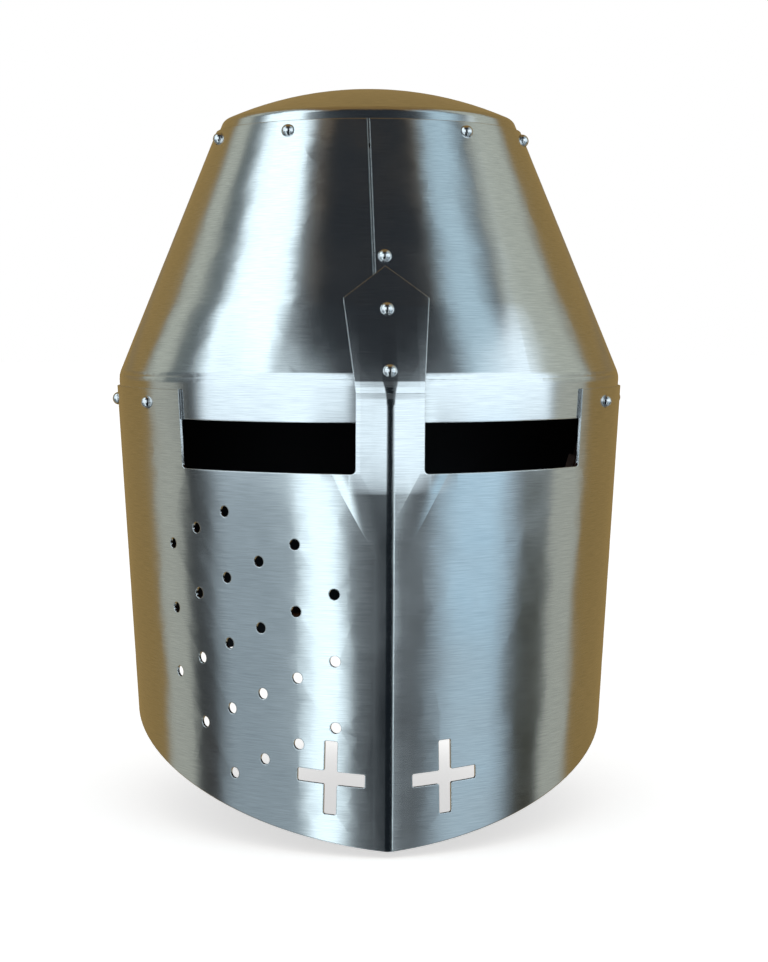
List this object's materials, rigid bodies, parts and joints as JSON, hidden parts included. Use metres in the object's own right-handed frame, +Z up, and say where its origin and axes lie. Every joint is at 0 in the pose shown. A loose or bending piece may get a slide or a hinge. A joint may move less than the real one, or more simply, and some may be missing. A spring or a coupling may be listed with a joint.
{
  "type": "great helm",
  "caption": "Riveted steel great helm with keeled face plate, nasal tab, eye slots, breath holes, cross cut-outs, leather liner and buckled chin strap.",
  "frame": {"origin": "on the helm's upright axis, level with the rivets round its waist, which is where it sits round a wearer's temples", "axes": "-Y is the front, +X the wearer's left, +Z up along the helm's axis"},
  "size_m": [0.255, 0.2924, 0.3492],
  "materials": {
    "satin_steel": "satin-polished mild steel sheet with fine polishing lines",
    "rivet_steel": "hammered and polished domed steel rivets",
    "washer_steel": "plain steel washers",
    "liner_leather": "dark brown vegetable-tanned leather",
    "strap_leather": "dark brown strap leather, burnished edges",
    "lace_leather": "round leather lace",
    "buckle_steel": "tumbled steel buckle"
  },
  "bodies": {
    "helm": {"skull": "satin_steel", "crown_cap": "satin_steel", "face_plate": "satin_steel", "back_plate": "satin_steel", "cap_rivets": "rivet_steel", "seam_rivet": "rivet_steel", "nasal_rivets": "rivet_steel", "waist_rivets_front": "rivet_steel", "waist_rivets_rear": "rivet_steel", "strap_pivot_rivets": "rivet_steel", "side_rivets_right": "rivet_steel", "side_rivets_left": "rivet_steel", "liner_washers": "washer_steel", "strap_washers": "washer_steel", "liner_band": "liner_leather", "liner_tongue_1": "liner_leather", "liner_tongue_2": "liner_leather", "liner_tongue_3": "liner_leather", "liner_tongue_4": "liner_leather", "liner_tongue_5": "liner_leather", "liner_tongue_6": "liner_leather", "liner_tongue_7": "liner_leather", "liner_tongue_8": "liner_leather", "liner_lace": "lace_leather"},
    "chin_strap": {"chin_strap_buckle_end": "strap_leather", "chin_strap_tongue_end": "strap_leather", "buckle_frame": "buckle_steel"},
    "roller": {"buckle_roller": "buckle_steel"},
    "prong": {"buckle_prong": "buckle_steel"},
    "keeper": {"strap_keeper": "strap_leather"}
  },
  "joints": [
    {"name": "chin_strap_swing", "type": "hinge", "parent": "helm", "child": "chin_strap", "pos_m": [0, 0, 0], "axis": [1, 0, 0], "range_deg": [-48, 48]},
    {"name": "roller_spin", "type": "hinge", "parent": "chin_strap", "child": "roller", "pos_m": [0.09954, 0, -0.07152], "axis": [0, 1, 0], "continuous": true},
    {"name": "prong_lift", "type": "hinge", "parent": "chin_strap", "child": "prong", "pos_m": [0.10505, 0, -0.0523], "axis": [0, 1, 0], "range_deg": [0, 6]},
    {"name": "keeper_slide", "type": "slide", "parent": "chin_strap", "child": "keeper", "axis": [-0.2756, 0, -0.9613], "range_m": [-0.01, 0.005]}
  ]
}
